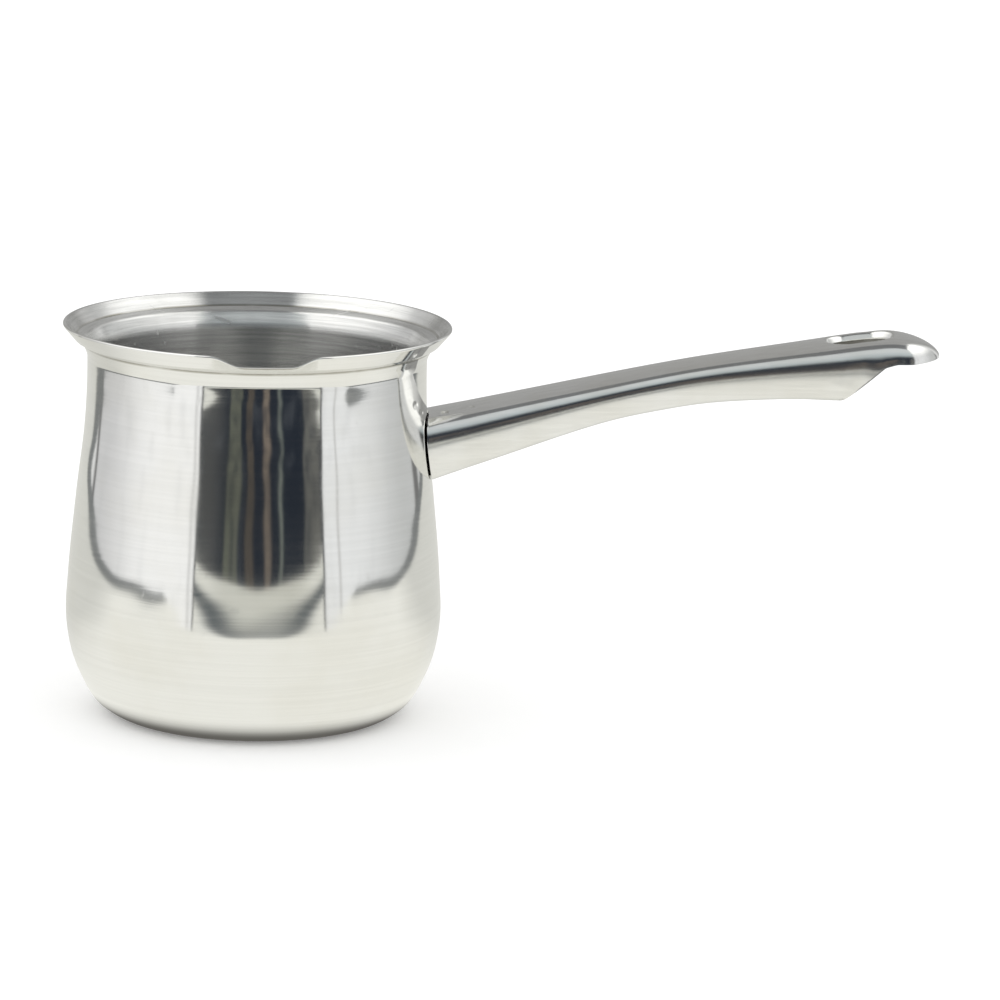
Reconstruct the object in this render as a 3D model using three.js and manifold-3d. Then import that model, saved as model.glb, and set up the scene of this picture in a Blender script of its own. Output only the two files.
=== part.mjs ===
// Stainless steel Turkish coffee pot (cezve): a deep-drawn pot with a flared rim and a pressed
// pouring lip, and a hollow pressed handle that is spot-welded to a bracket on the neck.
// Millimetres, +Z up. The origin is on the pot's axis in the plane it stands on.
// The handle points along +X and the pouring lip along -Y.

import * as THREE from 'three';
import { mergeVertices } from 'three/addons/utils/BufferGeometryUtils.js';
import Module from 'manifold-3d';

const wasm = await Module();
wasm.setup();

// ---- driving dimensions ----
const sheet = 0.8;            // wall of the pot
const handleSheet = 1.0;      // wall of the handle and of its bracket
const fit = 0.3;              // air left between two pieces that touch

const potHeight = 91.6;       // to the edge of the rim
const rimRadius = 45;
const rimBevel = 0.55;         // the sheet's edge is square to the cone, so its outside is lower
const bellyRadius = 43.7;     // widest, low on the wall
const bellyHeight = 24;
const neckRadius = 39.2;      // narrowest, under the flare
const neckTop = 83.2;         // the flare starts here
const baseRadius = 30.8;      // the flat that the pot stands on
const grooveInner = 22.5;     // shallow ring pressed up into the base
const grooveOuter = 26;
const grooveDepth = 0.4;
const creaseRadius = 40.45;   // sharp fold under the rim
const creaseHeight = 86.95;
const ledgeRadius = 42.2;     // end of the narrow ledge, where the rim turns up again
const ledgeHeight = 87.9;
const potSegments = 60;

const lipFlat = 8.6;          // half angle of the lip's level bottom, degrees
const lipReach = 14;          // half angle where the lip has run out, degrees
const lipDrop = 2.0;          // how far the edge is pressed down
const lipPush = 1.2;          // and outwards

const rootGap = 0.6;          // air between the handle's open end and the neck
const barStart = 36;          // the handle's bar is drawn from here and trimmed back to the neck
const tipX = 159.3;
const endRadius = 10;         // round end of the handle, seen from above
const cutStart = 136;         // the underside is cut away from here,
const cutEnd = 145;           // rising to here
const skirtFloor = 86;        // lower edge of the rolled sides beyond the cut
const handleSteps = 20;
const holeMid = 140.6;        // hanging hole
const holeLength = 15.6;
const holeWidth = 11.4;
const flangeDepth = 2.6;      // turned-down edge of the hanging hole

const plateWidth = 15;        // bracket: plate on the neck and tongue under the handle's top
const plateLow = 60.2;
const plateHigh = 68.6;
const tongueWidth = 11.6;
const tongueStart = 39;
const tongueEnd = 60;
const tongueGap = 0.8;        // under the middle of the crown, because the crown falls away to its sides

const weldRadius = 1.8;
const weldDimple = 0.4;       // depth of the mark that each spot weld leaves on the handle's top
const topWelds = [[43.4, -3.4], [48.6, -3.4]];   // x, y of the two spot welds on the handle's top
const plateWelds = [[5, 62], [-5, 62], [5, 67], [-5, 67]];  // y, z of those on the neck plate

// ---- finishes ----
function steel(colour, roughness) {
  return new THREE.MeshStandardMaterial({ color: colour, roughness, metalness: 1 });
}
const polished = steel(0xcfd0cc, 0.12);
const pressed = steel(0xbfc0bc, 0.2);
const plain = steel(0xa9aaa6, 0.4);
const weldSteel = steel(0x8d8e8b, 0.5);

// ---- solids ----
function toSolid(geometry) {
  const bare = geometry.clone();
  bare.deleteAttribute('normal');
  bare.deleteAttribute('uv');
  const joined = mergeVertices(bare, 1e-4);
  return new wasm.Manifold(new wasm.Mesh({
    numProp: 3,
    vertProperties: new Float32Array(joined.attributes.position.array),
    triVerts: new Uint32Array(joined.index.array),
  }));
}

function toGeometry(solid) {
  const mesh = solid.getMesh();
  const geometry = new THREE.BufferGeometry();
  geometry.setAttribute('position', new THREE.BufferAttribute(mesh.vertProperties, 3));
  geometry.setIndex(new THREE.BufferAttribute(mesh.triVerts, 1));
  geometry.computeVertexNormals();
  return geometry;
}

function moveVertices(geometry, place) {
  const position = geometry.attributes.position;
  for (let i = 0; i < position.count; i += 1) {
    const [x, y, z] = place(position.getX(i), position.getY(i), position.getZ(i));
    position.setXYZ(i, x, y, z);
  }
  geometry.computeVertexNormals();
  return geometry;
}

// a smooth line through a few (x, value) points, as a function of x
function lineThrough(points) {
  const curve = new THREE.CatmullRomCurve3(
    points.map(([x, value]) => new THREE.Vector3(x, value, 0)), false, 'centripetal');
  return (x) => {
    let low = 0;
    let high = 1;
    for (let i = 0; i < 24; i += 1) {
      const middle = (low + high) / 2;
      if (curve.getPoint(middle).x < x) low = middle;
      else high = middle;
    }
    return curve.getPoint(low).y;
  };
}

// an outline in (x, z) pushed out along y, centred on y = 0
function sideProfile(points, width) {
  const outline = new THREE.Shape(points.map(([x, z]) => new THREE.Vector2(x, z)));
  const geometry = new THREE.ExtrudeGeometry(outline, { depth: width, bevelEnabled: false });
  return geometry.translate(0, 0, -width / 2).rotateX(Math.PI / 2);
}

// ---- pot ----
function toPoints(list) {
  return list.map(([radius, height]) => new THREE.Vector2(radius, height));
}

function baseLine() {
  const grooveMid = (grooveInner + grooveOuter) / 2;
  return toPoints([[0, 0], [grooveInner, 0], [grooveMid, grooveDepth], [grooveOuter, 0]]);
}

function wallLine() {
  const corner = [[baseRadius, 0], [33.2, 0.75], [35.9, 2.4], [38.7, 6], [41.9, 13]];
  const side = [[bellyRadius, bellyHeight], [42.85, 38], [41, 56], [39.75, 67], [neckRadius, 78]];
  const curve = new THREE.CatmullRomCurve3(
    [...corner, ...side].map(([r, z]) => new THREE.Vector3(r, z, 0)), false, 'centripetal');
  return curve.getPoints(16).map((p) => new THREE.Vector2(p.x, p.y));
}

function flareLine() {
  return toPoints([
    [neckRadius, neckTop],
    [neckRadius + 0.2, neckTop + 1.1],
    [neckRadius + 0.65, neckTop + 2.4],
    [creaseRadius, creaseHeight],
    [ledgeRadius, ledgeHeight],
    [rimRadius, potHeight - rimBevel],
  ]);
}

// the same line moved inwards by the thickness of the sheet
function inset(profile, distance) {
  return profile.map((point, i) => {
    const before = profile[Math.max(i - 1, 0)];
    const after = profile[Math.min(i + 1, profile.length - 1)];
    const along = after.clone().sub(before).normalize();
    const inner = new THREE.Vector2(point.x - along.y * distance, point.y + along.x * distance);
    if (i === 0) inner.x = 0;
    return inner;
  });
}

// the rim is pressed down and out over a short arc, growing from nothing at the ledge
function pressLip(x, y, z) {
  const angle = Math.abs(THREE.MathUtils.radToDeg(Math.atan2(x, -y)));
  const around = 1 - THREE.MathUtils.smoothstep(angle, lipFlat, lipReach);
  const up = THREE.MathUtils.clamp((z - ledgeHeight) / (potHeight - ledgeHeight), 0, 1);
  const radius = Math.hypot(x, y);
  const push = radius > 0 ? (radius + lipPush * around * up) / radius : 1;
  return [x * push, y * push, z - lipDrop * around * up];
}

function potBody() {
  const outer = [...baseLine(), ...wallLine(), ...flareLine()];
  const inner = inset(outer, sheet).reverse();
  const lathe = new THREE.LatheGeometry([...outer, ...inner], potSegments);
  return moveVertices(lathe.rotateX(Math.PI / 2), pressLip);
}

// a solid plug of the pot's outside, grown by a gap: what other pieces are cut back to
function potPlug(gap) {
  const wall = [...wallLine(), ...flareLine()].map((p) => new THREE.Vector2(p.x + gap, p.y));
  const foot = new THREE.Vector2(0, wall[0].y);
  const top = new THREE.Vector2(0, wall[wall.length - 1].y);
  return toSolid(new THREE.LatheGeometry([foot, ...wall, top], potSegments).rotateX(Math.PI / 2));
}

// ---- handle ----
const topLine = lineThrough([
  [30, 69.3], [40.2, 71.3], [57, 75], [80, 80.4], [103, 85.2], [126, 88.7], [136, 90.1],
  [145, 90.8], [152, 90.2], [162, 87.2],
]);
const underLine = lineThrough([
  [30, 54.5], [44, 58.1], [57, 62.5], [80, 70.4], [92, 73.2], [103, 75.1], [115, 76.2],
  [126, 76.8], [140, 77.1], [162, 77.2],
]);
const widthLine = lineThrough([
  [30, 21], [41, 20], [57, 17.8], [80, 16.5], [103, 15.7], [126, 18], [140, 20], [162, 20.2],
]);

// a flat-sided oval, one unit high and two wide
function sectionShape() {
  const shape = new THREE.Shape();
  const reach = 0.48;
  const topCorner = 0.4;
  const lowCorner = 0.45;
  shape.absellipse(1 - reach, 1 - topCorner, reach, topCorner, 0, Math.PI / 2);
  shape.absellipse(reach - 1, 1 - topCorner, reach, topCorner, Math.PI / 2, Math.PI);
  shape.absellipse(reach - 1, lowCorner, reach, lowCorner, Math.PI, 1.5 * Math.PI);
  shape.absellipse(1 - reach, lowCorner, reach, lowCorner, 1.5 * Math.PI, 2 * Math.PI);
  return shape;
}

// the handle's bar, shrunk by an inset on every side and started a little early
function handleBar(shrink, early) {
  const bar = new THREE.ExtrudeGeometry(sectionShape(), {
    depth: 1, steps: handleSteps, curveSegments: 4, bevelEnabled: false,
  });
  return moveVertices(bar, (side, height, along) => {
    const start = barStart - early;
    const x = start + (tipX + 2 - start) * along;
    const low = underLine(x) + shrink;
    const high = topLine(x) - shrink;
    return [x, side * (widthLine(x) / 2 - shrink), low + (high - low) * height];
  });
}

// round end of the handle seen from above, as a tall post that the bar is trimmed to
function endPlan(shrink) {
  const shape = new THREE.Shape();
  const radius = endRadius - shrink;
  const middle = tipX - endRadius;
  shape.moveTo(barStart - 5, -endRadius - 5);
  shape.lineTo(holeMid, -endRadius - 5);
  shape.lineTo(holeMid, -radius);
  shape.absarc(middle, 0, radius, -Math.PI / 2, Math.PI / 2);
  shape.lineTo(holeMid, radius);
  shape.lineTo(holeMid, endRadius + 5);
  shape.lineTo(barStart - 5, endRadius + 5);
  const post = new THREE.ExtrudeGeometry(shape, {
    depth: potHeight, curveSegments: 12, bevelEnabled: false,
  });
  return toSolid(post.translate(0, 0, 10));
}

// long round-ended slot standing upright at the hanging hole
function slotPost(grow, low, high) {
  const radius = holeWidth / 2 + grow;
  const half = holeLength / 2 - holeWidth / 2;
  const shape = new THREE.Shape();
  shape.absarc(holeMid + half, 0, radius, -Math.PI / 2, Math.PI / 2);
  shape.absarc(holeMid - half, 0, radius, Math.PI / 2, 1.5 * Math.PI);
  const post = new THREE.ExtrudeGeometry(shape, {
    depth: high - low, curveSegments: 8, bevelEnabled: false,
  });
  return toSolid(post.translate(0, 0, low));
}

function underCut() {
  const below = 70;
  const points = [
    [cutStart - 0.01, underLine(cutStart)], [cutEnd, skirtFloor], [tipX + 5, skirtFloor],
    [tipX + 5, below], [cutStart - 6, below],
  ];
  return toSolid(sideProfile(points, 40));
}

function uprightPin(x, y, radius, low, high) {
  const pin = new THREE.CylinderGeometry(radius, radius, high - low, 16);
  return pin.rotateX(Math.PI / 2).translate(x, y, (low + high) / 2);
}

function handleShell() {
  const outside = toSolid(handleBar(0, 0)).intersect(endPlan(0));
  const inside = toSolid(handleBar(handleSheet, 2)).intersect(endPlan(handleSheet));
  const holeTop = topLine(holeMid);
  let shell = outside.subtract(inside).subtract(underCut()).subtract(potPlug(rootGap));
  const collar = slotPost(handleSheet, holeTop - flangeDepth, holeTop - 0.5);
  shell = shell.add(collar).subtract(slotPost(0, holeTop - 10, holeTop + 5));
  for (const [x, y] of topWelds) {
    const crown = topLine(x);
    shell = shell.subtract(toSolid(uprightPin(x, y, weldRadius, crown - weldDimple, crown + 3)));
  }
  return toGeometry(shell);
}

// ---- bracket and welds ----
function neckPlate() {
  const block = new THREE.BoxGeometry(5, plateWidth, plateHigh - plateLow);
  block.translate(40, 0, (plateHigh + plateLow) / 2);
  const skin = toSolid(block).subtract(potPlug(fit));
  return skin.intersect(potPlug(fit + handleSheet));
}

function tongueHeight(x) {
  return topLine(x) - handleSheet - tongueGap;
}

function tongueBar(width) {
  const upper = [];
  const lower = [];
  for (let x = tongueStart; x < tongueEnd; x += 4) {
    upper.push([x, tongueHeight(x)]);
    lower.unshift([x, tongueHeight(x) - handleSheet]);
  }
  return toSolid(sideProfile([...lower, ...upper].reverse(), width));
}

function bracket() {
  let whole = neckPlate().add(tongueBar(tongueWidth).subtract(potPlug(fit)));
  for (const [x, y] of topWelds) {
    const middle = tongueHeight(x);
    whole = whole.subtract(toSolid(uprightPin(x, y, weldRadius, middle - 4, middle + 4)));
  }
  for (const [y, z] of plateWelds) whole = whole.subtract(toSolid(neckPin(y, z, weldRadius)));
  return toGeometry(whole);
}

// a pin through the neck plate, square to the pot's axis
function neckPin(y, z, radius) {
  const pin = new THREE.CylinderGeometry(radius, radius, 6, 16);
  pin.rotateZ(Math.PI / 2).translate(neckRadius + 1, 0, z);
  return pin.rotateZ(Math.asin(y / neckRadius));
}

function topWeld(x, y) {
  const high = tongueHeight(x) + 0.2;
  return uprightPin(x, y, weldRadius - fit, high - handleSheet - 0.4, high);
}

function plateWeld(y, z) {
  const pin = toSolid(neckPin(y, z, weldRadius - fit));
  return toGeometry(pin.subtract(potPlug(fit)).intersect(potPlug(fit + handleSheet + 0.2)));
}

// ---- assembly ----
const pot = new THREE.Group();
const handleGroup = new THREE.Group();

function addPiece(group, name, geometry, material) {
  const piece = new THREE.Mesh(geometry, material);
  piece.name = name;
  group.add(piece);
}

addPiece(pot, 'pot_body', potBody(), polished);
addPiece(handleGroup, 'handle', handleShell(), pressed);
addPiece(handleGroup, 'handle_bracket', bracket(), plain);
topWelds.forEach(([x, y], i) => {
  addPiece(handleGroup, `handle_weld_${i + 1}`, topWeld(x, y), weldSteel);
});
plateWelds.forEach(([y, z], i) => {
  addPiece(handleGroup, `neck_weld_${i + 1}`, plateWeld(y, z), weldSteel);
});
pot.add(handleGroup);

export default pot;
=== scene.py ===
import math
import bpy
import numpy as np
from mathutils import Euler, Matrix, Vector


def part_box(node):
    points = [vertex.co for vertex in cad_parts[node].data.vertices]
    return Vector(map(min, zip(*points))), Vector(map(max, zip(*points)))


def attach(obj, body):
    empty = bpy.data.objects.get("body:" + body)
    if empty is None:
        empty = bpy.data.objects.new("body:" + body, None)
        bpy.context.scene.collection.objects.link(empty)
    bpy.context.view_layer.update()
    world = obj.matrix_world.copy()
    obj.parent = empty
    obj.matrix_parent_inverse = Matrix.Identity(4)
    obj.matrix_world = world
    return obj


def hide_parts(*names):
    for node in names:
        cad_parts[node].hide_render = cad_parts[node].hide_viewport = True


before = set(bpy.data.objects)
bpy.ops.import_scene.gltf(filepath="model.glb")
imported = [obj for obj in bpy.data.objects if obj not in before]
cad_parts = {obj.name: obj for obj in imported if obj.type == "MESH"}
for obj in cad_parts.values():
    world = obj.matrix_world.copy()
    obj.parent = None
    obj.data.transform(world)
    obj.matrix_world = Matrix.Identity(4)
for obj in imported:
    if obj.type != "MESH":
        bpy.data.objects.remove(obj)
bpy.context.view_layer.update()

mm = 0.001
scene = bpy.context.scene
print("frame loaded:", ", ".join(sorted(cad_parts)))

# ---- camera ----

view = {
    "lens": 180,              # a long lens, in mm
    "sensor": 36,
    "sees": (0.05, 60),       # nearest and farthest, in metres
    "distance": 1.1676,
    "azimuth": -5.46,         # degrees from the front, minus is away from the handle
    "elevation": 11.87,
    "aim": (0.05715, 0, 0.0502),
    "tilt": 1.52,             # degrees that the whole picture leans clockwise
}


def placeCamera(view):
    azimuth = math.radians(view["azimuth"])
    elevation = math.radians(view["elevation"])
    back = Vector((math.sin(azimuth) * math.cos(elevation),
                   -math.cos(azimuth) * math.cos(elevation),
                   math.sin(elevation)))
    data = bpy.data.cameras.new("tableCamera")
    data.lens = view["lens"]
    data.sensor_width = view["sensor"]
    data.clip_start, data.clip_end = view["sees"]
    camera = bpy.data.objects.new("tableCamera", data)
    camera.location = Vector(view["aim"]) + back * view["distance"]
    turn = (-back).to_track_quat("-Z", "Y").to_matrix()
    lean = Euler((0, 0, math.radians(view["tilt"]))).to_matrix()
    camera.rotation_euler = (turn @ lean).to_euler()
    scene.collection.objects.link(camera)
    scene.camera = camera


placeCamera(view)
print("camera placed")

# ---- drawing lines and sheets ----


def smoothPath(knots, count):
    # natural cubic through the knots, spaced by the root of the distance between them
    p = np.array(knots, float)
    t = np.concatenate([[0], np.cumsum(np.linalg.norm(np.diff(p, axis=0), axis=1) ** 0.5)])
    h = np.diff(t)
    a = np.eye(len(t))
    b = np.zeros_like(p)
    for i in range(1, len(t) - 1):
        a[i, i - 1:i + 2] = h[i - 1], 2 * (h[i - 1] + h[i]), h[i]
        b[i] = 6 * ((p[i + 1] - p[i]) / h[i] - (p[i] - p[i - 1]) / h[i - 1])
    m = np.linalg.solve(a, b)
    s = np.linspace(0, t[-1], count)
    k = np.clip(np.searchsorted(t, s, side="right") - 1, 0, len(h) - 1)
    u = ((s - t[k]) / h[k])[:, None]
    w = h[k][:, None] ** 2 / 6
    v = 1 - u
    return v * p[k] + u * p[k + 1] + w * ((v ** 3 - v) * m[k] + (u ** 3 - u) * m[k + 1])


def lineThrough(knots):
    # the same cubic as a function of the first coordinate
    path = smoothPath(knots, 1200)
    return lambda x: np.interp(x, path[:, 0], path[:, 1])


def roundCorners(corners, steps=7):
    # corners are (x, y, radius); each one with a radius becomes an arc
    path = []
    for i, (x, y, radius) in enumerate(corners):
        here = np.array([x, y], float)
        if radius == 0 or i in (0, len(corners) - 1):
            path.append(here)
            continue
        before = np.array(corners[i - 1][:2]) - here
        after = np.array(corners[i + 1][:2]) - here
        before /= np.linalg.norm(before)
        after /= np.linalg.norm(after)
        half = math.acos(np.clip(before @ after, -1, 1)) / 2
        middle = (before + after) / np.linalg.norm(before + after) * radius / math.sin(half)
        start = before * radius / math.tan(half) - middle
        end = after * radius / math.tan(half) - middle
        for s in np.linspace(0, 1, steps):
            spoke = start * (1 - s) + end * s
            path.append(here + middle + spoke / np.linalg.norm(spoke) * radius)
    return np.array(path)


def lengthAlong(path):
    steps = np.linalg.norm(np.diff(path, axis=0), axis=1)
    return np.concatenate([[0], np.cumsum(steps)])


def sidewaysOf(path):
    along = np.gradient(path, axis=0)
    along /= np.linalg.norm(along, axis=1)[:, None]
    return np.stack([-along[:, 1], along[:, 0]], axis=1)


def pickAlong(path, length, places):
    return np.stack([np.interp(places, length, path[:, c]) for c in range(path.shape[1])], axis=1)


def evenOut(path, spacing):
    length = lengthAlong(path)
    count = max(2, int(round(length[-1] / spacing)) + 1)
    return pickAlong(path, length, np.linspace(0, length[-1], count))


def smoothStep(value, low, high):
    t = np.clip((value - low) / (high - low), 0, 1)
    return t * t * (3 - 2 * t)


def addPiece(name, points, faces, materials, slotOfFace=None):
    mesh = bpy.data.meshes.new(name)
    mesh.from_pydata([tuple(p) for p in points], [], faces)
    for material in materials:
        mesh.materials.append(material)
    if slotOfFace is not None:
        mesh.polygons.foreach_set("material_index", slotOfFace)
    mesh.polygons.foreach_set("use_smooth", [True] * len(mesh.polygons))
    mesh.update()
    piece = bpy.data.objects.new(name, mesh)
    scene.collection.objects.link(piece)
    return piece


# ---- shader helpers ----


class Shader:
    # wires nodes: most calls make one node and return its output
    def __init__(self, tree):
        self.tree = tree
        tree.nodes.clear()

    def add(self, kind, **settings):
        node = self.tree.nodes.new(kind)
        for key, value in settings.items():
            setattr(node, key, value)
        return node

    def feed(self, socket, value):
        if isinstance(value, bpy.types.NodeSocket):
            self.tree.links.new(value, socket)
        elif value is not None:
            socket.default_value = value

    def math(self, operation, a, b=None, c=None):
        node = self.add("ShaderNodeMath", operation=operation)
        for socket, value in zip(node.inputs, (a, b, c)):
            self.feed(socket, value)
        return node.outputs[0]

    def ramp(self, value, low, high, outLow=0.0, outHigh=1.0):
        node = self.add("ShaderNodeMapRange", interpolation_type="SMOOTHSTEP")
        for socket, given in zip(node.inputs, (value, low, high, outLow, outHigh)):
            self.feed(socket, given)
        return node.outputs[0]

    def window(self, value, low, high, soft):
        # one between low and high, zero outside them
        return self.math("MULTIPLY", self.ramp(value, low - soft, low + soft),
                         self.ramp(value, high - soft, high + soft, 1.0, 0.0))

    def fromAxis(self, x, y):
        squares = self.math("MULTIPLY", x, x), self.math("MULTIPLY", y, y)
        return self.math("SQRT", self.math("ADD", *squares))

    def vector(self, x, y, z):
        node = self.add("ShaderNodeCombineXYZ")
        for socket, value in zip(node.inputs, (x, y, z)):
            self.feed(socket, value)
        return node.outputs[0]

    def split(self, vector):
        node = self.add("ShaderNodeSeparateXYZ")
        self.feed(node.inputs[0], vector)
        return node.outputs

    def noise(self, vector, scale, detail=3.0, roughness=0.5):
        node = self.add("ShaderNodeTexNoise")
        self.feed(node.inputs["Vector"], vector)
        node.inputs["Scale"].default_value = scale
        node.inputs["Detail"].default_value = detail
        node.inputs["Roughness"].default_value = roughness
        return node.outputs["Fac"]

    def stretch(self, vector, scale):
        node = self.add("ShaderNodeMapping")
        self.feed(node.inputs["Vector"], vector)
        node.inputs["Scale"].default_value = scale
        return node.outputs[0]

    def mix(self, factor, a, b):
        node = self.add("ShaderNodeMix", data_type="RGBA")
        self.feed(node.inputs[0], factor)
        self.feed(node.inputs[6], a)
        self.feed(node.inputs[7], b)
        return node.outputs[2]


def newShader(name):
    material = bpy.data.materials.new(name)
    material.use_nodes = True
    s = Shader(material.node_tree)
    output = s.add("ShaderNodeOutputMaterial")
    return material, s, output


# ---- steel finishes ----

turnedSteel = {                       # the pot's polished outside
    "colour": (0.82, 0.82, 0.80, 1),
    "warm": (0.79, 0.785, 0.75, 1),   # handling haze
    "roughness": 0.07,
    "haze": 0.05,
    "lineHeight": 0.0000016,          # metres, depth of the turning lines
    "lineScale": 1500,
    "tint": 0.07,                     # how dark the brushed lines are
    "cloudScale": 34,
    "scratch": 0.05,                  # how much rougher a hairline scratch is
    "foldLineShade": (0.0403, 0.0406, 0.00015),   # inner and outer radius of a painted dark line in the fold, standing for the dark reflection there, and its softness
    "foldLineShadeFrom": 0.086,               # the line is only above this height
}
brushedSteel = {                      # the pot's inside
    "colour": (0.80, 0.80, 0.785, 1),
    "warm": (0.70, 0.70, 0.685, 1),
    "roughness": 0.22,
    "haze": 0.06,
    "lineHeight": 0.000012,
    "lineScale": 2300,
    "tint": 0.35,
    "cloudScale": 60,
    "scratch": 0.1,
    # painted dark line along the fold on the inside, standing for the dark reflection there
    "foldLineShade": (0.0415, 0.0419, 0.00015),
    "foldLineShadeFrom": 0.086,
    "brushed": 1.0,                   # how one-sided the shine is
}
pressedSteel = {                      # the handle
    "colour": (0.80, 0.80, 0.785, 1),
    "warm": (0.76, 0.755, 0.725, 1),
    "roughness": 0.15,
    "haze": 0.07,
    "lineHeight": 0.0000025,
    "lineScale": 1300,
    "tint": 0.10,
    "cloudScale": 45,
    "scratch": 0.08,
}
rawSheetPaintedDark = {                          # the handle's unpolished inside, its colour darkened as painted shade inside the hollow
    "colour": (0.24, 0.24, 0.23, 1),
    "warm": (0.17, 0.165, 0.15, 1),
    "roughness": 0.45,
    "haze": 0.15,
    "lineHeight": 0.000004,
    "lineScale": 700,
    "tint": 0.3,
    "cloudScale": 90,
    "scratch": 0.1,
}
dullSteel = {                         # the bracket and the weld metal
    "colour": (0.50, 0.50, 0.49, 1),
    "warm": (0.38, 0.36, 0.33, 1),
    "roughness": 0.38,
    "haze": 0.15,
    "lineHeight": 0.000004,
    "lineScale": 900,
    "tint": 0.3,
    "cloudScale": 120,
    "scratch": 0.1,
}
steelMarks = {                        # marks that every steel has, more or less
    "wornFrom": (0.42, 0.68),         # where in the cloud the handling haze starts and is full
    "wornRough": 0.4,                 # how much of the haze the worn places add
    "brushFrom": (0.35, 0.65),
    "brushScale": 0.7,                # of the line scale, so the dark lines are a little wider
    "lineShade": 0.55,                # a dark line's share of the warm colour
    "softGrain": 0.18,                # the broad lines' share of the fine ones' grain
    "softHeight": 1.5,                # and how much higher they stand
    "hairlineGrain": (0.03, 1.0, 0.25),
    "hairlineScale": 900,
    "hairlineFrom": (0.70, 0.78),
    # colour of the painted dark line in the fold
    "foldLineShade": (0.33, 0.32, 0.27, 1),
    "foldLineShadePatches": (0.35, 0.6, 0.45, 0.95),
    "foldLineShadeSoft": 0.0004,
}


def paintedFoldShade(s, place, finish, marks):
    # painted dark line along the fold, standing for the dark reflection there
    x, y, z = s.split(place)
    line = s.window(s.fromAxis(x, y), *finish["foldLineShade"])
    patchy = s.ramp(s.noise(place, 90.0), *marks["foldLineShadePatches"])
    start, soft = finish["foldLineShadeFrom"], marks["foldLineShadeSoft"]
    high = s.ramp(z, start - soft, start + soft)
    return s.math("MULTIPLY", s.math("MULTIPLY", line, high), patchy)


def steelColour(s, place, worn, finish, grain, marks):
    colour = s.mix(worn, finish["colour"], finish["warm"])
    # the painted dark line in the fold
    if "foldLineShade" in finish:
        colour = s.mix(paintedFoldShade(s, place, finish, marks), colour, marks["foldLineShade"])
    strokes = s.noise(s.stretch(place, grain), finish["lineScale"] * marks["brushScale"],
                      detail=3.0, roughness=0.65)
    brushed = s.math("MULTIPLY", s.ramp(strokes, *marks["brushFrom"]), finish["tint"])
    dark = tuple(marks["lineShade"] * c for c in finish["warm"][:3]) + (1,)
    return s.mix(brushed, colour, dark)


def steelRoughness(s, place, lines, worn, finish, marks):
    scratches = s.noise(s.stretch(place, marks["hairlineGrain"]), marks["hairlineScale"],
                        detail=1.0, roughness=0.5)
    hairlines = s.ramp(scratches, *marks["hairlineFrom"])
    rough = s.math("MULTIPLY_ADD", lines, finish["haze"], finish["roughness"] - finish["haze"] / 2)
    rough = s.math("MULTIPLY_ADD", worn, finish["haze"] * marks["wornRough"], rough)
    return s.math("MULTIPLY_ADD", hairlines, finish["scratch"], rough)


def makeSteel(name, finish, grain, marks=steelMarks):
    # grain is how the fine lines are drawn out: a low number along them, a high one across
    material, s, output = newShader(name)
    shader = s.add("ShaderNodeBsdfPrincipled")
    s.tree.links.new(shader.outputs[0], output.inputs["Surface"])
    place = s.add("ShaderNodeTexCoord").outputs["Object"]
    lines = s.noise(s.stretch(place, grain), finish["lineScale"], detail=2.0, roughness=0.6)
    broad = tuple(marks["softGrain"] * g for g in grain)
    soft = s.noise(s.stretch(place, broad), finish["lineScale"], detail=2.0, roughness=0.5)
    cloud = s.noise(place, finish["cloudScale"], detail=4.0, roughness=0.55)
    worn = s.ramp(cloud, *marks["wornFrom"])
    s.feed(shader.inputs["Base Color"], steelColour(s, place, worn, finish, grain, marks))
    s.feed(shader.inputs["Roughness"], steelRoughness(s, place, lines, worn, finish, marks))
    shader.inputs["Metallic"].default_value = 1.0
    if "brushed" in finish:           # brushed round the axis, so that highlights spread upright
        shader.inputs["Anisotropic"].default_value = finish["brushed"]
        shader.inputs["Anisotropic Rotation"].default_value = 0.25
        tangent = s.add("ShaderNodeTangent", direction_type="RADIAL", axis="Z")
        s.feed(shader.inputs["Tangent"], tangent.outputs[0])
    bump = s.add("ShaderNodeBump")
    bump.inputs["Distance"].default_value = finish["lineHeight"]
    bump.inputs["Strength"].default_value = 1.0
    s.feed(bump.inputs["Height"], s.math("MULTIPLY_ADD", soft, marks["softHeight"], lines))
    s.feed(shader.inputs["Normal"], bump.outputs[0])
    return material


turnedRound = (0.012, 0.012, 1.0)
brushedRound = (0.025, 0.025, 1.0)
alongTheHandle = (0.012, 1.0, 1.0)
rolledUpright = (1.0, 1.0, 0.05)
noDirection = (1.0, 1.0, 1.0)
polishedOutside = makeSteel("turnedSteelOutside", turnedSteel, turnedRound)
brushedInside = makeSteel("brushedSteelInside", brushedSteel, brushedRound)
handleSteel = makeSteel("pressedHandleSteel", pressedSteel, alongTheHandle)
handleInsidePaintedDark = makeSteel("unpolishedHandleInsidePaintedDark", rawSheetPaintedDark, alongTheHandle)
rawSteel = makeSteel("rawBracketSteel", dullSteel, rolledUpright)
weldMetal = makeSteel("weldMetal", dullSteel, noDirection)
print("steels mixed")

# ---- pot ----

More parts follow.
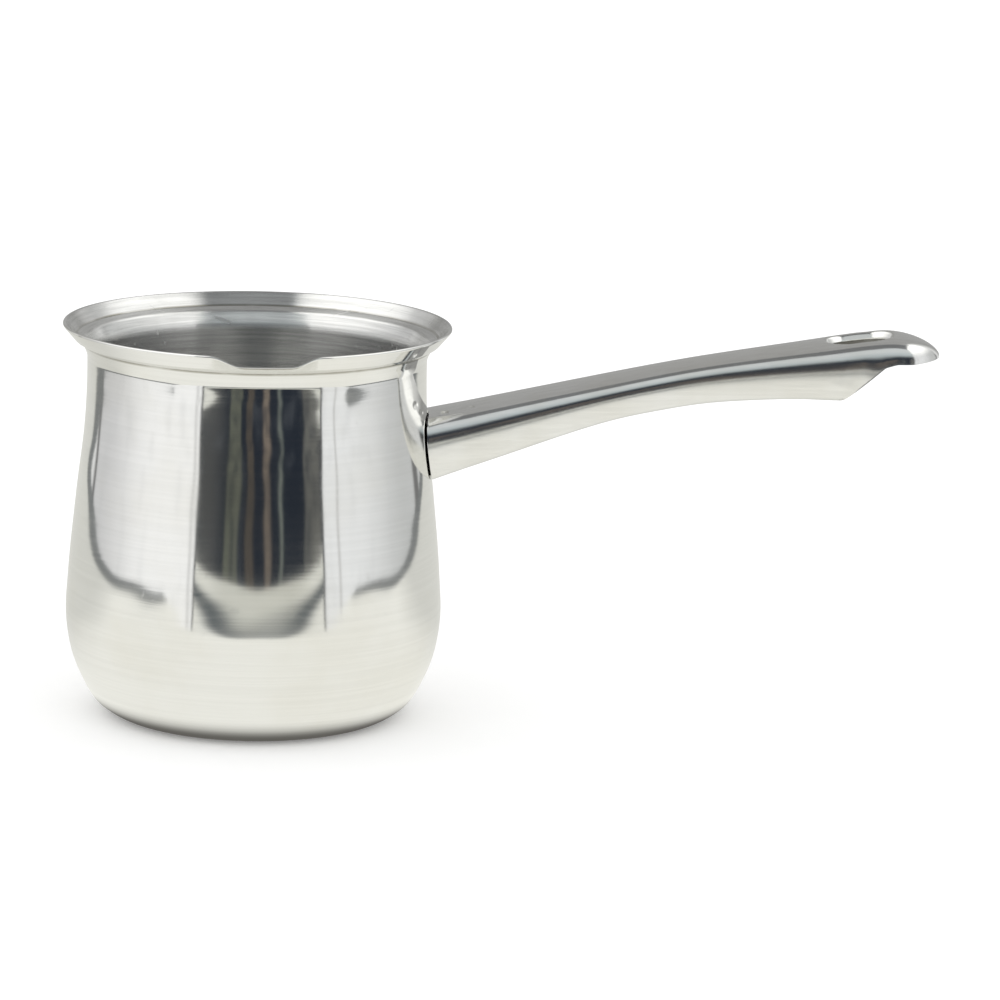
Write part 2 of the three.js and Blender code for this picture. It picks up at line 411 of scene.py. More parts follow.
potBox = [Vector(c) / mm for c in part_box("pot_body")]
potShape = {
    "height": potBox[1].z + 0.05,     # the rounded edge ends a little below this
    "rimRadius": potBox[1].x,
    "sheet": 0.8,
    "groove": (22.5, 26.0, 0.4),      # inner and outer radius and depth of the ring in the base
    "grooveBends": (4, 3),            # fillets at its edges and along its middle
    "wall": [                         # radius and height of the outside, from base to neck
        (30.8, 0.0), (31.9, 0.25), (33.6, 1.0), (35.4, 2.15), (37.1, 3.6), (38.75, 6), (40.25, 9),
        (41.9, 13), (43.1, 18), (43.7, 24), (43.45, 30), (42.85, 38), (41.95, 47), (41.0, 56),
        (39.95, 65), (39.35, 74), (39.2, 80), (39.2, 82.6),
    ],
    "neckTop": (84.3, 4.6),           # height of the bend under the flare, and its fillet
    "crease": (40.45, 86.95, 0.3),    # radius, height and fillet of the fold in the flare
    "ledge": (42.2, 87.9, 0.35),      # where the rim turns up again
    "lipFlat": 7.0,                   # degrees either side of the lip's middle
    "lipReach": 16.3,                 # degrees where it has faded out
    "lipDrop": 2.15,                  # how far its edge goes down, and out
    "lipPush": 1.15,
    "lipCurve": 1.15,                 # the lip bends more and more towards the edge
    "wobble": [                       # slight unevenness: depth, waves round, waves up, phase
        (0.022, 5, 0.045, 0.4), (0.016, 9, 0.03, 2.1), (0.012, 14, 0.07, 4.0), (0.007, 23, 0.1, 1.0),
    ],
    "wobbleFrom": (6, 18),            # heights where the dents start and are full
    "wobbleTo": (78, 83),
    "rimEdge": (0.3, 0.95),           # shares of the sheet left outside and above for the round edge
    "spacing": (1.2, 0.9, 0.16),      # between points on the base, the wall and the flare
    "segments": 288,
}


def potOutside(shape):
    inner, outer, depth = shape["groove"]
    edgeBend, middleBend = shape["grooveBends"]
    baseRadius = shape["wall"][0][0]
    neckRadius = shape["wall"][-1][0]
    bend, fillet = shape["neckTop"]
    inwards, down = shape["rimEdge"]
    onBase, onWall, onFlare = shape["spacing"]
    base = roundCorners([
        (0, 0, 0), (inner, 0, edgeBend), ((inner + outer) / 2, depth, middleBend),
        (outer, 0, edgeBend), (baseRadius, 0, 0)])
    wall = evenOut(smoothPath(shape["wall"], 600), onWall)
    rim = (shape["rimRadius"] - shape["sheet"] * inwards, shape["height"] - shape["sheet"] * down, 0)
    flare = roundCorners([
        (*shape["wall"][-1], 0), (neckRadius, bend, fillet), shape["crease"], shape["ledge"], rim], 9)
    return np.concatenate([evenOut(base, onBase)[:-1], wall[:-1], evenOut(flare, onFlare)])


def rimRound(edge, side, sheet, steps=8):
    # half circle over the edge of the sheet, from the outside to the inside
    middle = edge + side * sheet / 2
    along = np.array([side[1], -side[0]])
    turns = np.linspace(0, math.pi, steps + 1)[1:-1]
    return np.array([middle - side * math.cos(t) * sheet / 2 + along * math.sin(t) * sheet / 2
                     for t in turns])


def pressLip(points, shape):
    x, y, z = points.T
    foldHeight = shape["ledge"][1]
    angle = np.abs(np.degrees(np.arctan2(x, -y)))
    around = 1 - smoothStep(angle, shape["lipFlat"], shape["lipReach"])
    up = np.clip((z - foldHeight) / (shape["height"] - foldHeight), 0, 1)
    up = up ** shape["lipCurve"]
    radius = np.maximum(np.hypot(x, y), 1e-6)
    push = 1 + shape["lipPush"] * around * up / radius
    return np.stack([x * push, y * push, z - shape["lipDrop"] * around * up], axis=1)


def wobbleWall(points, shape):
    # slow dents that bend the reflections; none at the base or the rim
    x, y, z = points.T
    angle = np.arctan2(x, -y)
    radius = np.maximum(np.hypot(x, y), 1e-6)
    depth = sum(size * np.cos(waves * angle + phase + np.sin(z * rise) * 3)
                for size, waves, rise, phase in shape["wobble"])
    depth = depth * smoothStep(z, *shape["wobbleFrom"]) * (1 - smoothStep(z, *shape["wobbleTo"]))
    return np.stack([x * (1 + depth / radius), y * (1 + depth / radius), z], axis=1)


def potProfile(shape):
    # once round the sheet: up the outside, over the rim and down the inside
    outside = potOutside(shape)
    side = sidewaysOf(outside)
    inside = outside + side * shape["sheet"]
    inside[0, 0] = 0
    edge = rimRound(outside[-1], side[-1], shape["sheet"])
    return np.concatenate([outside, edge, inside[::-1]]), len(outside) + len(edge) // 2


def turnProfile(profile, count):
    # every point but the first and last goes round; those two lie on the axis
    ring = profile[1:-1]
    turns = np.arange(count) * 2 * math.pi / count
    walls = [np.stack([ring[:, 0] * math.sin(t), -ring[:, 0] * math.cos(t), ring[:, 1]], axis=1)
             for t in turns]
    return np.concatenate(walls + [[[0, 0, profile[0, 1]], [0, 0, profile[-1, 1]]]])


def potFaces(rows, count, rimRow):
    bottom = rows * count
    faces = []
    slots = []
    for i in range(count):
        here = i * rows
        there = (i + 1) % count * rows
        faces.append((bottom, there, here))
        slots.append(0)
        for k in range(rows - 1):
            faces.append((here + k, there + k, there + k + 1, here + k + 1))
            slots.append(0 if k < rimRow else 1)
        faces.append((bottom + 1, here + rows - 1, there + rows - 1))
        slots.append(1)
    return faces, slots


def makePot(shape):
    profile, rimRow = potProfile(shape)
    points = turnProfile(profile, shape["segments"])
    points = wobbleWall(pressLip(points, shape), shape)
    faces, slots = potFaces(len(profile) - 2, shape["segments"], rimRow)
    return addPiece("potShell", points * mm, faces, [polishedOutside, brushedInside], slots)


potShell = makePot(potShape)
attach(potShell, "root")
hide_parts("pot_body")
print("pot drawn,", len(potShell.data.polygons), "faces")

# ---- handle ----

handleBox = [Vector(c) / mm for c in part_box("handle")]
handleShape = {
    "root": 40.1,                     # middle of the open end at the pot
    "rootGap": 0.35,                  # its edge follows the neck at this distance
    "tip": handleBox[1].x,
    "sheet": 1.0,
    "top": [
        (36, 70.3), (40.2, 71.3), (57, 74.9), (80, 79.7), (103, 84.25), (126, 87.9), (136, 89.5),
        (145, 90.7), (150, 90.6), (155, 89.6), (159.3, 88.0),
    ],
    "under": [
        (36, 54.7), (44, 57.3), (57, 61.7), (80, 69.6), (92, 72.4), (103, 74.3), (115, 75.3),
        (126, 75.7), (135, 75.5), (159.3, 75.5),
    ],
    "halfWidth": [
        (36, 10), (41, 9.8), (57, 8.9), (80, 8.25), (103, 7.9), (126, 9.0), (140, 9.9), (159.3, 10),
    ],
    "section": [                      # shares of half width and height, from the top to the seam
        (0, 0), (0.35, 0.011), (0.62, 0.035), (0.79, 0.076), (0.90, 0.150), (0.967, 0.250),
        (1.0, 0.385), (0.977, 0.66), (0.93, 0.83), (0.83, 0.935), (0.64, 0.985), (0.33, 1.0),
        (0, 1.0),
    ],
    "cut": [                          # lower edge of the sheet where the underside is cut away
        (135.2, 75.4), (145.2, 84.1), (148.0, 84.9), (152, 84.9), (159.3, 85.6),
    ],
    "cutBends": (0, 1.5, 3, 3, 0),    # fillets at those points
    "endRadius": 10,
    "rollsFrom": 140,                 # from here the sides shrink to a roll round the end
    "rollsTo": 1.5,                   # which is whole this far before the end starts to curve
    "seamGap": 0.12,
    "seamOpens": 7,                   # the seam widens over this length before the cut
    "topStrip": 8.5,                  # arc length either side of the middle that carries the hole
    "topShare": 0.74,                 # but no more than this share of the way down to the edge
    "hole": {
        "middle": 140.6, "length": 14.6, "width": 10.2,
        "fold": 1.65,                 # width of the edge that is dished down to the hole
        "bend": 1.2,                  # radius over which it turns down
        "steep": math.radians(60),    # and how steep it is after that
    },
    "holeMargin": (2.2, 1.6),         # even grid kept before and after the hole and its fold
    "welds": [(43.0, -4.6, 1.5), (48.6, -4.6, 2.1)],   # dimples: place and radius
    "weldDepth": 0.42,
    "weldEdge": (0.62, 1.1),          # shares of the radius over which a dimple fades
    "weldZone": (56, 4),              # dimples are only before this place, and near the top
    "rootLength": 9,                  # the edge at the neck eases out over this length
    "columns": 46,                    # faces down each side
    "stripColumns": 20,               # and how many of them are in the top strip
    "spacing": (0.36, 1.0, 0.6),      # between rows at the root, along the bar and at the hole
    "rootRows": 53,                   # the close rows end here
    "endRows": 25,
    "softEdge": 0.22,                 # bevel on the edges of the sheet
}


def straightThrough(knots):
    xs, zs = zip(*knots)
    return lambda x: np.interp(x, xs, zs)


class HandleForm:
    # the outer skin of the handle, worked out from its shape
    def __init__(self, shape):
        self.shape = shape
        self.topLine = lineThrough(shape["top"])
        self.underLine = lineThrough(shape["under"])
        self.widthLine = lineThrough(shape["halfWidth"])
        corners = [(x, z, bend) for (x, z), bend in zip(shape["cut"], shape["cutBends"])]
        self.cutLine = straightThrough(roundCorners(corners).tolist())
        self.cutStart = shape["cut"][0][0]
        self.endMiddle = shape["tip"] - shape["endRadius"]
        self.section = smoothPath(shape["section"], 700)
        self.widest = int(np.argmax(self.section[:, 0]))
        self.upper = self.section[:self.widest + 1] / self.section[self.widest, 0]
        self.upper[:, 1] = self.section[:self.widest + 1, 1]

    def sizes(self, x):
        # half width, top, height of the whole section, and lower edge
        shape = self.shape
        top = float(self.topLine(x))
        low = float(self.underLine(x))
        cut = float(self.cutLine(x)) if x > self.cutStart else low
        rolled = (top - cut) / self.section[self.widest, 1]   # so that the side ends at the cut
        share = smoothStep(x, shape["rollsFrom"], self.endMiddle - shape["rollsTo"])
        return float(self.widthLine(x)), top, top - low + (rolled - top + low) * share, cut

    def surface(self, x, y):
        # height of the upper skin over a point; the end is rounded in plan and rolls down all round
        width, top, height, _ = self.sizes(x)
        past = max(x - self.endMiddle, 0) / self.shape["endRadius"]
        share = math.hypot(past, y / width)
        return top - height * float(np.interp(share, self.upper[:, 0], self.upper[:, 1]))

    def spread(self, path, last=None):
        # the columns of one side: evenly over the top strip, then evenly to the last place
        length = lengthAlong(path)
        last = length[-1] if last is None else last(length)
        first = min(self.shape["topStrip"], self.shape["topShare"] * last)
        strip, columns = self.shape["stripColumns"], self.shape["columns"]
        return pickAlong(path, length, np.concatenate([
            np.linspace(0, first, strip + 1), np.linspace(first, last, columns - strip + 1)[1:]]))

    def halfSection(self, x):
        # from the middle of the top down one side to the seam, the cut or the rolled end
        width, top, height, cut = self.sizes(x)
        if x > self.endMiddle:
            past = (x - self.endMiddle) / self.shape["endRadius"]
            y = width * math.sqrt(1 - past ** 2) * np.sin(np.linspace(0, math.pi / 2, 300))
            return self.spread(np.array([(v, self.surface(x, v)) for v in y]))
        y = width * self.section[:, 0]
        z = top - height * self.section[:, 1]
        lower = len(y) // 2            # the half where the section turns in to the seam
        flat = len(z) * 6 // 7         # and where it is flat underneath
        opened = smoothStep(x, self.cutStart - self.shape["seamOpens"], self.cutStart)

        def last(length):
            seam = np.interp(-self.shape["seamGap"], -y[lower:], length[lower:])
            edge = np.interp(-max(cut, float(self.cutLine(self.cutStart))), -z[:flat], length[:flat])
            return seam + (min(edge, seam) - seam) * opened

        return self.spread(np.stack([y, z], axis=1), last)

    def rootEdge(self, y, z):
        # where the open end meets the neck
        wall = np.array(potShape["wall"])
        neck = float(np.interp(z, wall[:, 1], wall[:, 0])) + self.shape["rootGap"]
        return math.sqrt(neck ** 2 - y ** 2)


def spaced(start, end, spacing):
    count = max(1, int(round((end - start) / spacing)))
    return list(np.linspace(start, end, count + 1)[:-1])


def slotRing(hole, directions, offset):
    # round-ended outline of the hanging hole, grown by an offset, met by rays from its middle
    radius = hole["width"] / 2
    half = hole["length"] / 2 - radius
    ring = []
    for dx, dy in directions:
        reach = radius + hole["fold"]
        if abs(dy) * half < reach * abs(dx) + 1e-12 and abs(dx) > 1e-9:
            side = math.copysign(half, dx)
            b = -2 * dx * side
            c = side ** 2 - reach ** 2
            far = (-b + math.sqrt(b * b - 4 * c)) / 2
        else:
            far = reach / abs(dy)
        px, py = dx * far, dy * far
        core = min(max(px, -half), half)
        nx, ny = px - core, py
        size = math.hypot(nx, ny)
        ring.append((core + nx / size * (radius + offset), ny / size * (radius + offset)))
    return ring


def handleStations(form, shape):
    # where the rows of the sheet are, and the first and last row round the hole
    hole = shape["hole"]
    before, after = shape["holeMargin"]
    reach = hole["length"] / 2 + hole["fold"]
    holeStart = hole["middle"] - reach - before
    holeEnd = hole["middle"] + reach + after
    atRoot, onBar, atHole = shape["spacing"]
    bar = spaced(shape["root"], shape["rootRows"], atRoot) + spaced(shape["rootRows"], holeStart, onBar)
    throughHole = bar + spaced(holeStart, holeEnd, atHole)
    radius = shape["endRadius"]
    turn = math.asin(min(1, max(0, (holeEnd - form.endMiddle) / radius)))
    over = [form.endMiddle + radius * math.sin(t)
            for t in np.linspace(turn, math.radians(88), shape["endRows"] + 1)[1:]]
    return throughHole + [holeEnd] + over, len(bar), len(throughHole)


def sheetPoints(form, shape, stations):
    columns = shape["columns"]
    points = []
    for x in stations:
        half = form.halfSection(x)
        atNeck = max(0.0, 1 - (x - shape["root"]) / shape["rootLength"])
        for j in range(-columns, columns + 1):
            y, z = half[abs(j)]
            shift = (form.rootEdge(y, z) - shape["root"]) * atNeck if atNeck else 0
            points.append([x + shift, math.copysign(y, j) if j else 0.0, z])
    return points


def dentWelds(points, form, shape):
    # a shallow dimple in the top over each weld
    zoneEnd, zoneDepth = shape["weldZone"]
    inner, outer = shape["weldEdge"]
    for wx, wy, radius in shape["welds"]:
        for p in points:
            if p[0] < zoneEnd and p[2] > form.surface(p[0], 0) - zoneDepth:
                far = math.hypot(p[0] - wx, p[1] - wy)
                p[2] -= shape["weldDepth"] * float(1 - smoothStep(far, radius * inner, radius * outer))


def holeRings(points, outer, form, hole):
    # rings of new points, from the gap in the grid to the hole and down its dished edge
    rays = []
    for index in outer:
        x, y = points[index][0] - hole["middle"], points[index][1]
        size = math.hypot(x, y)
        rays.append((x / size, y / size))
    rings = [outer]

    def addRing(plan, drop):
        start = len(points)
        for px, py in plan:
            x = px + hole["middle"]
            points.append([x, py, form.surface(x, py) - drop])
        rings.append(list(range(start, start + len(plan))))

    foldRing = slotRing(hole, rays, hole["fold"])
    for share in np.linspace(0, 1, 8)[1:]:
        plan = []
        for index, (fx, fy) in zip(outer, foldRing):
            bx, by = points[index][0] - hole["middle"], points[index][1]
            plan.append((bx + (fx - bx) * share, by + (fy - by) * share))
        addRing(plan, 0)
    fold, bend, steep = hole["fold"], hole["bend"], hole["steep"]
    for t in np.linspace(0, steep, 8)[1:]:
        addRing(slotRing(hole, rays, fold - bend * math.sin(t)), bend * (1 - math.cos(t)))
    slope = fold - bend * math.sin(steep)
    for share in np.linspace(0, 1, 5)[1:]:
        drop = bend * (1 - math.cos(steep)) + slope * share * math.tan(steep)
        addRing(slotRing(hole, rays, slope * (1 - share)), drop)
    return rings


def handleSkin(shape):
    # points, faces and outlines of the outer skin
    form = HandleForm(shape)
    columns, strip = shape["columns"], shape["stripColumns"]
    stations, firstHole, lastHole = handleStations(form, shape)
    end = len(stations) - 1
    points = sheetPoints(form, shape, stations)
    dentWelds(points, form, shape)

    def at(i, j):
        return i * (2 * columns + 1) + j + columns

    faces = [(at(i, j), at(i + 1, j), at(i + 1, j + 1), at(i, j + 1))
             for i in range(end) for j in range(-columns, columns)
             if not (firstHole <= i < lastHole and -strip <= j < strip)]
    # the two halves of the last row are joined across
    faces.append((at(end, 0), at(end, -1), at(end, 1)))
    faces += [(at(end, -j), at(end, -j - 1), at(end, j + 1), at(end, j)) for j in range(1, columns)]
    outer = [at(firstHole, j) for j in range(-strip, strip)]
    outer += [at(i, strip) for i in range(firstHole, lastHole)]
    outer += [at(lastHole, j) for j in range(strip, -strip, -1)]
    outer += [at(i, -strip) for i in range(lastHole, firstHole, -1)]
    rings = holeRings(points, outer, form, shape["hole"])
    for a, b in zip(rings, rings[1:]):
        for k in range(len(outer)):
            n = (k + 1) % len(outer)
            faces.append((a[k], b[k], b[n], a[n]))
    # outlines of the sheet, in order: all the way round, and the hole
    border = [at(0, j) for j in range(columns, -columns, -1)]
    border += [at(i, -columns) for i in range(end)]
    border += [at(end, -columns), at(end, columns)]
    border += [at(i, columns) for i in range(end - 1, 0, -1)]
    return np.array(points), faces, [border, rings[-1][::-1]]


def faceNormal(p):
    # across the two diagonals of a four-sided face, or two sides of a triangle
    if len(p) == 4:
        return np.cross(p[2] - p[0], p[-1] - p[1])
    return np.cross(p[1] - p[0], p[2] - p[0])


def thicken(points, faces, outlines, sheet):
    # an inner skin one sheet below the outer one, and strips that close the edges
    normals = np.zeros_like(points)
    for face in faces:
        normals[list(face)] += faceNormal(points[list(face)])
    length = np.linalg.norm(normals, axis=1)[:, None]
    used = length[:, 0] > 0            # grid points inside the hole carry no face
    normals /= np.maximum(length, 1e-12)
    count = len(points)
    allPoints = np.concatenate([points, points - normals * sheet])
    allFaces = list(faces) + [tuple(count + i for i in reversed(face)) for face in faces]
    for outline in outlines:
        for a, b in zip(outline, outline[1:] + outline[:1]):
            allFaces.append((a, b, count + b, count + a))
    keep = np.concatenate([used, used])
    number = np.cumsum(keep) - 1
    return allPoints[keep], [tuple(int(number[i]) for i in face) for face in allFaces]


def makeHandle(shape):
    points, faces, outlines = handleSkin(shape)
    skin = len(faces)                  # the outer skin comes first, then the inner one, then the edges
    points, faces = thicken(points, faces, outlines, shape["sheet"])
    # the inner skin gets the steel painted dark as shade inside the hollow handle
    slots = [1 if skin <= k < 2 * skin else 0 for k in range(len(faces))]
    piece = addPiece("handleShell", points * mm, faces, [handleSteel, handleInsidePaintedDark], slots)
    bevel = piece.modifiers.new("softEdges", "BEVEL")
    bevel.width = shape["softEdge"] * mm
    bevel.segments = 2
    bevel.limit_method = "ANGLE"
    bevel.angle_limit = math.radians(50)
    return piece


handleShell = makeHandle(handleShape)
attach(handleShell, "root")
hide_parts("handle")
print("handle pressed,", len(handleShell.data.polygons), "faces")

# ---- bracket and welds keep their CAD shape ----

joiningPieces = {"handle_bracket": rawSteel}
joiningPieces.update({f"handle_weld_{i}": weldMetal for i in (1, 2)})
joiningPieces.update({f"neck_weld_{i}": weldMetal for i in (1, 2, 3, 4)})
for name, steel in joiningPieces.items():
    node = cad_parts[name]
    node.data.materials.clear()
    node.data.materials.append(steel)
print("bracket and welds coloured")

# ---- table ----

table = {
    "half": 6.0,                       # metres
    "drop": 0.0002,                    # just under the pot, so that the two never share a plane
    "white": (0.95, 0.95, 0.95, 1),
    "grain": (0.94, 0.94, 0.938, 1),
    "glow": 0.16,                      # lightens the shadow
}
mirroredTable = {                      # the part of the table that the steel mirrors: a glowing copy seen only in reflections, a painted reflection with painted shade and a painted shadow
    "x": (-0.39, 0.42), "y": (-0.24, 0.5), "drop": 0.0001,
    "tone": (0.99, 0.985, 0.93, 1),
    "back": (0.74, 0.74, 0.70, 1),     # painted shade on it behind the pot
    "shadeBehindFrom": (-0.02, 0.09),
    "edge": (0.22, 0.23, 0.23, 1),     # dark rim along its left and right sides
    "edgeAt": (-0.30, 0.33, 0.03),     # left, right and softness
    "shadowUnderPot": (0.04, 0.035, 0.03, 1),
    "foot": (0.0325, 0.0415, 0.9, 0.0),   # radius of the painted shadow under the pot, and how dark
}
frontBoard = {                         # low pale board across the front of the table, glowing and seen only in reflections: a painted reflection
    "x": (-0.174, 0.186), "y": -0.24, "height": 0.046,
    "rise": (0.0295, 0.0075, 0.165),   # top edge: height, curve, at this distance
    "edgeSoft": 0.0006,
    "smile": (0.0050, 0.0115, 0.150),  # painted shadow line across it
    "smileWidth": (0.002, 0.011),
    "smileDepth": (0.02, 0.12, 0.62, 1.0),   # deepest towards the two ends
    "pale": (0.70, 0.70, 0.64, 1),
    "paleEnds": (0.88, 0.88, 0.82, 1),
    "endsFrom": (0.07, 0.16),
    "dark": (0.10, 0.115, 0.125, 1),
    "under": (0.92, 0.92, 0.87, 1),
    "underSoft": 0.004,
}


def paintTable(table):
    material, s, output = newShader("paleTable")
    shader = s.add("ShaderNodeBsdfPrincipled")
    s.tree.links.new(shader.outputs[0], output.inputs["Surface"])
    grain = s.ramp(s.noise(s.add("ShaderNodeTexCoord").outputs["Object"], 60.0), 0.3, 0.7)
    s.feed(shader.inputs["Base Color"], s.mix(grain, table["white"], table["grain"]))
    shader.inputs["Roughness"].default_value = 0.9
    shader.inputs["Specular IOR Level"].default_value = 0.0
    shader.inputs["Emission Color"].default_value = (1, 1, 1, 1)
    shader.inputs["Emission Strength"].default_value = table["glow"]
    return material


def paintMirroredTable(table):
    material, s, output = newShader("mirroredTable")
    x, y, _ = s.split(s.add("ShaderNodeTexCoord").outputs["Object"])
    left, right, soft = table["edgeAt"]
    edge = s.math("MAXIMUM", s.ramp(x, left, left - soft), s.ramp(x, right, right + soft))
    # painted shade behind the pot
    tone = s.mix(s.ramp(y, *table["shadeBehindFrom"]), table["tone"], table["back"])
    tone = s.mix(edge, tone, table["edge"])
    # painted shadow round the pot's foot
    tone = s.mix(s.ramp(s.fromAxis(x, y), *table["foot"]), tone, table["shadowUnderPot"])
    glow = s.add("ShaderNodeEmission")
    s.feed(glow.inputs[0], tone)
    s.tree.links.new(glow.outputs[0], output.inputs["Surface"])
    return material


def paintFrontBoard(board):
    material, s, output = newShader("frontBoard")
    x, _, z = s.split(s.add("ShaderNodeTexCoord").outputs["Object"])
    aside = s.math("ABSOLUTE", x)

    def over(base, rise, at):
        # height above a line that curves up to both sides
        square = s.math("POWER", s.math("DIVIDE", x, at), 2.0)
        return s.math("SUBTRACT", z, s.math("MULTIPLY_ADD", square, rise, base))

    fromSmile = over(*board["smile"])
    line = s.ramp(s.math("ABSOLUTE", fromSmile), *board["smileWidth"], 1.0, 0.0)
    shade = s.math("MULTIPLY", s.ramp(aside, *board["smileDepth"]), line)
    pale = s.mix(s.ramp(aside, *board["endsFrom"]), board["pale"], board["paleEnds"])
    soft = board["underSoft"]
    tone = s.mix(s.ramp(fromSmile, -soft, soft), board["under"], pale)
    tone = s.mix(shade, tone, board["dark"])
    glow = s.add("ShaderNodeEmission")
    s.feed(glow.inputs[0], tone)
    clear = s.add("ShaderNodeBsdfTransparent")
    choose = s.add("ShaderNodeMixShader")
    s.feed(choose.inputs[0], s.ramp(over(*board["rise"]), -board["edgeSoft"], board["edgeSoft"]))
    s.tree.links.new(glow.outputs[0], choose.inputs[1])
    s.tree.links.new(clear.outputs[0], choose.inputs[2])
    s.tree.links.new(choose.outputs[0], output.inputs["Surface"])
    return material


def laySheet(name, corners, material):
    piece = addPiece(name, corners, [(0, 1, 2, 3)], [material])
    return piece


def onlyMirrored(piece):
    piece.visible_camera = False
    piece.visible_diffuse = False
    piece.visible_shadow = False


def makeTable():
    half, low = table["half"], -table["drop"]
    corners = [(-half, -half, low), (half, -half, low), (half, half, low), (-half, half, low)]
    wide = laySheet("wideTable", corners, paintTable(table))
    wide.visible_glossy = False
    (x0, x1), (y0, y1), low = mirroredTable["x"], mirroredTable["y"], -mirroredTable["drop"]
    corners = [(x0, y0, low), (x1, y0, low), (x1, y1, low), (x0, y1, low)]
    onlyMirrored(laySheet("nearTable", corners, paintMirroredTable(mirroredTable)))
    (x0, x1), y, top = frontBoard["x"], frontBoard["y"], frontBoard["height"]
    corners = [(x0, y, 0), (x1, y, 0), (x1, y, top), (x0, y, top)]
    onlyMirrored(laySheet("frontBoard", corners, paintFrontBoard(frontBoard)))


makeTable()
print("table laid")

# ---- studio, in degrees of azimuth from the front, plus towards the handle, and of elevation ----

sides = {                              # white cloth on both sides, a little uneven
    "left": (-122, -70, (0.70, 0.70, 0.71, 1), (1.08, 1.08, 1.08, 1)),
    "right": (60, 112, (0.94, 0.95, 0.96, 1), (0.62, 0.63, 0.63, 1)),
    "join": (-2, 2),
    "foldSize": (0.09, 0.16),
    "foldShade": (0.45, 0.75, 0.0, 0.3),
    "fold": (0.62, 0.63, 0.64, 1),
    "high": (1.5, 1.5, 1.48, 1),       # brighter above the cloth
    "highFrom": (18, 42),
    "outlines": [                      # azimuth, half width and grey of the dark edges
        (-132, 2.4, 0.20), (126, 3.5, 0.20), (52.0, 0.8, 0.68), (-42.5, 1.0, 0.8),
    ],
    "outlineTop": (8, 16, 1.0, 0.0),
}
backOfRoom = {                         # floor, then the wall, then what is above the pot
    "floor": (0.86, 0.86, 0.86, 1),
    "floorFrom": (131, 135),
    "wall": (0.36, 0.36, 0.35, 1),
    "wallFrom": (135, 155),
    "wallFoot": (-6, -2),
    "above": (0.40, 0.40, 0.395, 1),
    "aboveSpan": (-0.30, 0.40, 0.04),  # left, right and softness, as the x of the direction
    "aboveFrom": (0.0, 0.06),          # as its y
}
gap = {                                # between the cloths: dark room, pale wall and softbox
    "span": (-39.5, 42.0, 0.7),        # left, right and softness
    "top": (14, 28),                   # the room gives way to the pale wall between these
    "room": (0.020, 0.026, 0.038, 1),
    "roomEdge": (0.085, 0.088, 0.090, 1),
    "middle": 5.0,
    "edgeFrom": (22, 38),              # degrees from the middle
    "haze": (0.13, 0.14, 0.155, 1),
    "hazeFrom": (0.5, 0.8, 0.0, 0.5),
    "waves": (9.0, -4.5),              # the streaks wave by this much, centred
    "streaks": [                       # azimuth, half width and colour of pale things in the room
        (-16.5, 4.0, (0.135, 0.142, 0.115, 1)),
        (-6.3, 2.2, (0.105, 0.090, 0.075, 1)),
        (4.6, 2.0, (0.235, 0.195, 0.160, 1)),
        (13.6, 1.1, (0.20, 0.22, 0.20, 1)),
        (33.5, 5.2, (0.150, 0.150, 0.140, 1)),
    ],
    "streakSoft": 0.9,
    "streakTop": (5, 9, 1.0, 0.0),
    "streakPatches": (0.55, 0.45),     # how much of a streak is patchy, and how much is not
    "upperFront": (0.56, 0.62, 0.64, 1),
    "softbox": (0.70, 0.73, 0.74, 1),
    "softboxSpan": (34, 66, 8),
}
ceiling = {                            # dark strip straight above, as x, y and z of the direction
    "tone": (0.19, 0.195, 0.20, 1),
    "x": (-0.275, 0.39, 0.008),
    "y": (-0.50, 0.10, 0.03),
    "z": (0.5, 0.6),
}
fill = 1.05                            # plain white light on everything that is not a reflection


def paintSides(s, azimuth, elevation, sides):
    low, high, far, near = sides["left"]
    left = s.mix(s.ramp(azimuth, low, high), far, near)
    low, high, near, far = sides["right"]
    right = s.mix(s.ramp(azimuth, low, high), near, far)
    picture = s.mix(s.ramp(azimuth, *sides["join"]), left, right)
    across, up = sides["foldSize"]
    folds = s.noise(s.vector(s.math("MULTIPLY", azimuth, across), s.math("MULTIPLY", elevation, up), 0.0),
                    1.0, detail=3.0, roughness=0.6)
    picture = s.mix(s.ramp(folds, *sides["foldShade"]), picture, sides["fold"])
    picture = s.mix(s.ramp(elevation, *sides["highFrom"]), picture, sides["high"])
    top = s.ramp(elevation, *sides["outlineTop"])
    for middle, half, tone in sides["outlines"]:
        line = s.window(azimuth, middle - half, middle + half, half * 0.6)
        picture = s.mix(s.math("MULTIPLY", line, top), picture, (tone, tone, tone, 1))
    return picture


def paintBack(s, picture, azimuth, elevation, x, y, back):
    aside = s.math("ABSOLUTE", azimuth)
    picture = s.mix(s.ramp(aside, *back["floorFrom"]), picture, back["floor"])
    wall = s.math("MULTIPLY", s.ramp(aside, *back["wallFrom"]), s.ramp(elevation, *back["wallFoot"]))
    picture = s.mix(wall, picture, back["wall"])
    above = s.math("MULTIPLY", s.window(x, *back["aboveSpan"]), s.ramp(y, *back["aboveFrom"]))
    return s.mix(above, picture, back["above"])


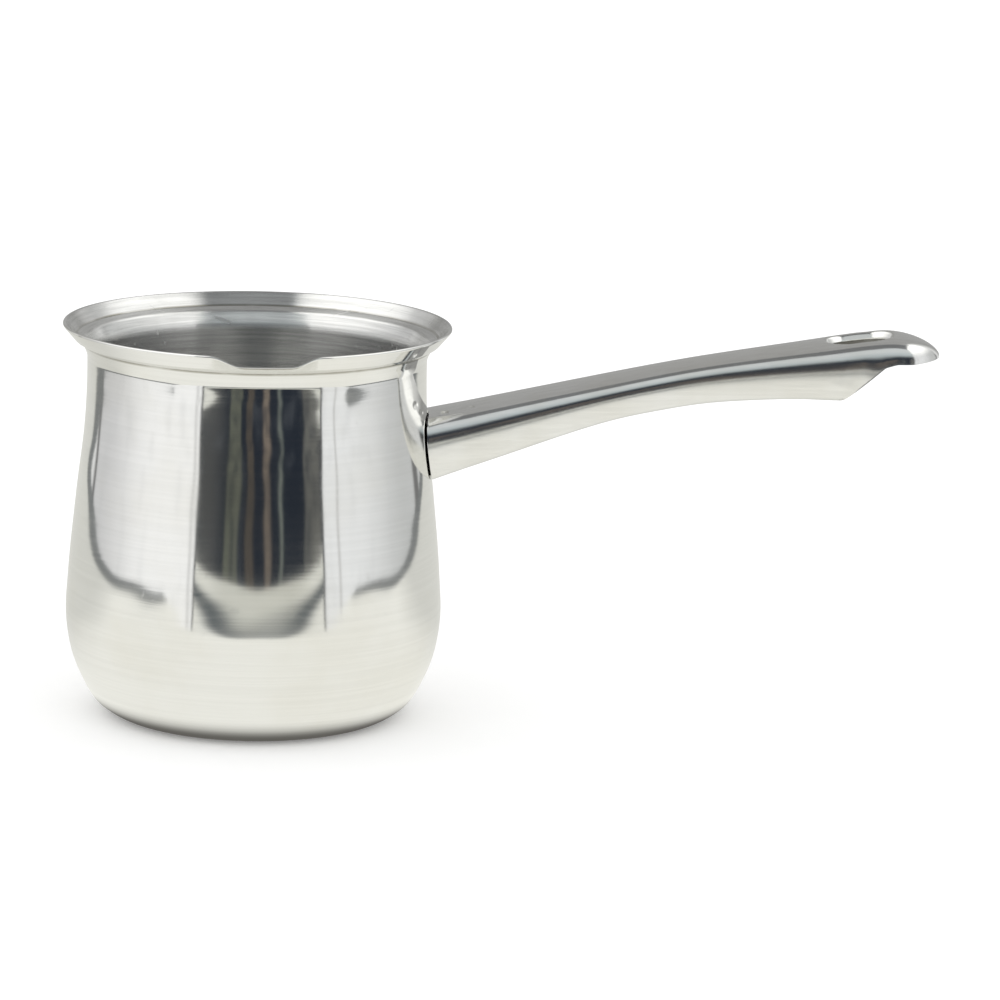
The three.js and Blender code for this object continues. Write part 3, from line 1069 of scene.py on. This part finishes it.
def paintGap(s, picture, azimuth, elevation, gap):
    def cloudy(value, across, up, seed, detail, roughness):
        place = s.vector(s.math("MULTIPLY", value, across), s.math("MULTIPLY", elevation, up), seed)
        return s.noise(place, 1.0, detail, roughness)

    bent = s.math("ADD", azimuth, s.math(
        "MULTIPLY_ADD", cloudy(azimuth, 0.03, 0.22, 1.7, 2.0, 0.5), *gap["waves"]))
    edges = s.math("ABSOLUTE", s.math("SUBTRACT", azimuth, gap["middle"]))
    room = s.mix(s.ramp(edges, *gap["edgeFrom"]), gap["room"], gap["roomEdge"])
    haze = s.ramp(cloudy(bent, 0.11, 0.3, 4.2, 4.0, 0.6), *gap["hazeFrom"])
    room = s.mix(haze, room, gap["haze"])
    patchy = s.ramp(cloudy(azimuth, 0.2, 0.5, 9.1, 2.0, 0.5), 0.35, 0.6)
    low = s.math("MULTIPLY", s.ramp(elevation, *gap["streakTop"]),
                 s.math("MULTIPLY_ADD", patchy, *gap["streakPatches"]))
    for middle, half, tone in gap["streaks"]:
        streak = s.window(bent, middle - half, middle + half, gap["streakSoft"])
        room = s.mix(s.math("MULTIPLY", streak, low), room, tone)
    upper = s.mix(s.window(elevation, *gap["softboxSpan"]), gap["upperFront"], gap["softbox"])
    inside = s.mix(s.ramp(elevation, *gap["top"]), room, upper)
    return s.mix(s.window(azimuth, *gap["span"]), picture, inside)


def paintCeiling(s, picture, x, y, z, ceiling):
    strip = s.math("MULTIPLY", s.window(x, *ceiling["x"]), s.window(y, *ceiling["y"]))
    return s.mix(s.math("MULTIPLY", strip, s.ramp(z, *ceiling["z"])), picture, ceiling["tone"])


def paintStudio():
    world = bpy.data.worlds.new("studio")
    scene.world = world
    world.use_nodes = True
    s = Shader(world.node_tree)
    x, y, z = s.split(s.add("ShaderNodeTexCoord").outputs["Generated"])
    azimuth = s.math("MULTIPLY", s.math("ARCTAN2", x, s.math("MULTIPLY", y, -1.0)), 180 / math.pi)
    elevation = s.math("MULTIPLY", s.math("ARCSINE", z), 180 / math.pi)
    picture = paintSides(s, azimuth, elevation, sides)
    picture = paintBack(s, picture, azimuth, elevation, x, y, backOfRoom)
    picture = paintGap(s, picture, azimuth, elevation, gap)
    picture = paintCeiling(s, picture, x, y, z, ceiling)
    # the steel mirrors the studio, and everything else is lit by plain white
    toSteel = s.add("ShaderNodeBackground")
    s.feed(toSteel.inputs[0], picture)
    toRest = s.add("ShaderNodeBackground")
    toRest.inputs[0].default_value = (1, 1, 1, 1)
    toRest.inputs[1].default_value = fill
    choose = s.add("ShaderNodeMixShader")
    s.feed(choose.inputs[0], s.add("ShaderNodeLightPath").outputs["Is Glossy Ray"])
    s.tree.links.new(toRest.outputs[0], choose.inputs[1])
    s.tree.links.new(toSteel.outputs[0], choose.inputs[2])
    output = s.add("ShaderNodeOutputWorld")
    s.tree.links.new(choose.outputs[0], output.inputs["Surface"])


paintStudio()
scene.view_settings.view_transform = "Standard"
print("studio lit")
